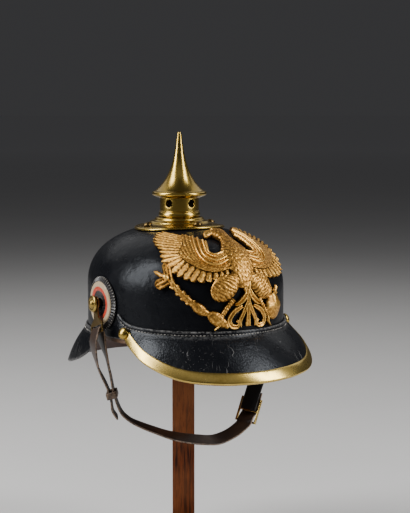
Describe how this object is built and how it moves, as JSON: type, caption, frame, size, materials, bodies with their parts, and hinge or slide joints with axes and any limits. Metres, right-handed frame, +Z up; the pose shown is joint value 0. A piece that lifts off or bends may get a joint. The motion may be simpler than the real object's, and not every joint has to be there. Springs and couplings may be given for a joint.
{
  "type": "pickelhaube on a wooden post stand",
  "caption": "Spiked black leather helmet with front and rear visors, brass fittings, raised eagle plate, cockades and a hanging chin strap, shown on a square wooden post stand.",
  "frame": {"origin": "middle of the underside of the stand's square foot", "axes": "+Z up along the post and the spike, the helmet faces -Y, the wearer's right side is -X"},
  "size_m": [0.2146, 0.2925, 0.4265],
  "materials": {
    "black_leather": "lacquered",
    "brown_leather": "worn",
    "brass": "polished",
    "gilt": "gilt, chased",
    "enamel": "painted rings",
    "wood": "stained"
  },
  "bodies": {
    "root": {"crown_shell": "black_leather", "front_visor": "black_leather", "rear_visor": "black_leather", "visor_trim": "brass", "rear_spine": "brass", "sweatband": "brown_leather", "eagle_plate": "gilt", "spike": "brass", "spike_neck": "brass", "spike_base": "brass", "base_stud_front": "brass", "base_stud_right": "brass", "base_stud_rear": "brass", "base_stud_left": "brass", "cockade_right": "enamel", "cockade_left": "enamel", "side_post_right": "brass", "side_post_left": "brass", "strap_hook_right": "brass", "strap_hook_left": "brass", "trim_stud_right": "brass", "trim_stud_left": "brass", "chin_strap": "brown_leather", "strap_left": "black_leather", "strap_slide": "brown_leather", "strap_buckle": "brass", "stand_post": "wood", "stand_base": "wood"}
  },
  "joints": []
}
